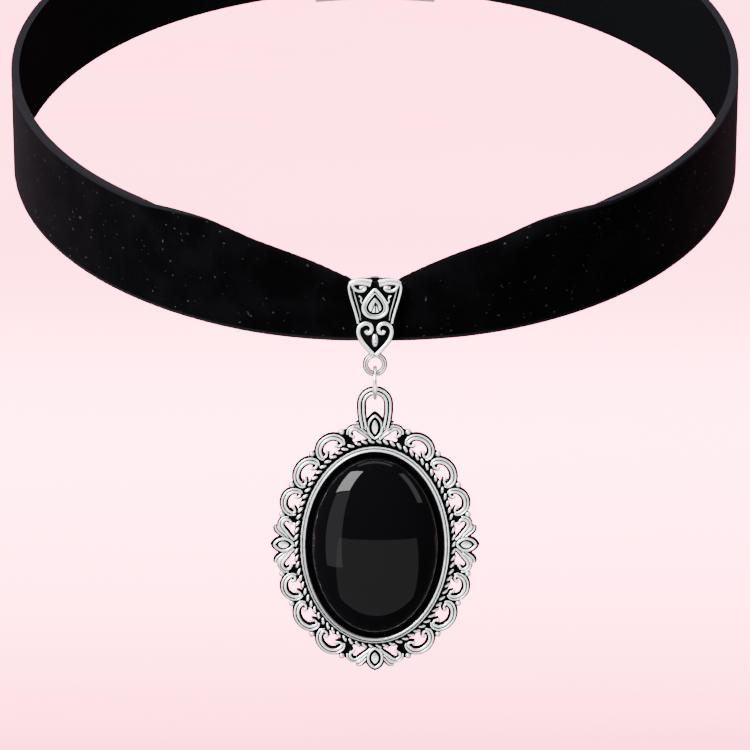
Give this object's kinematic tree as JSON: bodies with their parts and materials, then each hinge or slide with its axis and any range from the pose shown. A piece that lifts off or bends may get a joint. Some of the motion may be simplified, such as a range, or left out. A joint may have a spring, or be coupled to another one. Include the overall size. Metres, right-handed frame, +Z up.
{
  "type": "choker necklace",
  "caption": "Velvet ribbon choker with a cast filigree bail, a jump ring and an oval lace-edge pendant that holds a domed black cabochon.",
  "frame": {"origin": "centre of the ribbon's ring, on the axis of the neck, where the choker sits on a neck", "axes": "+Z up, -Y towards the front, +X to the right seen from the front; the ring dips 22.5 degrees to the front, as on a neck"},
  "size_m": [0.1058, 0.1065, 0.1038],
  "materials": {
    "velvet": "cut pile, matt with a soft sheen",
    "antique_silver": "cast, polished on the raised lines and blackened in the recesses",
    "silver_wire": "bright drawn wire",
    "black_stone": "polished, opaque"
  },
  "bodies": {
    "band": {"velvet_ribbon": "velvet", "bail": "antique_silver", "back_clasp": "antique_silver"},
    "ring": {"jump_ring": "silver_wire"},
    "pendant": {"pendant_setting": "antique_silver", "cabochon": "black_stone"}
  },
  "joints": [
    {"name": "jump_ring_swing", "type": "hinge", "parent": "band", "child": "ring", "pos_m": [0, -0.04787, -0.0323], "axis": [1, 0, 0], "range_deg": [-60, 60]},
    {"name": "pendant_swing", "type": "hinge", "parent": "ring", "child": "pendant", "pos_m": [0, -0.04787, -0.03572], "axis": [0, 1, 0], "range_deg": [-40, 40]}
  ]
}
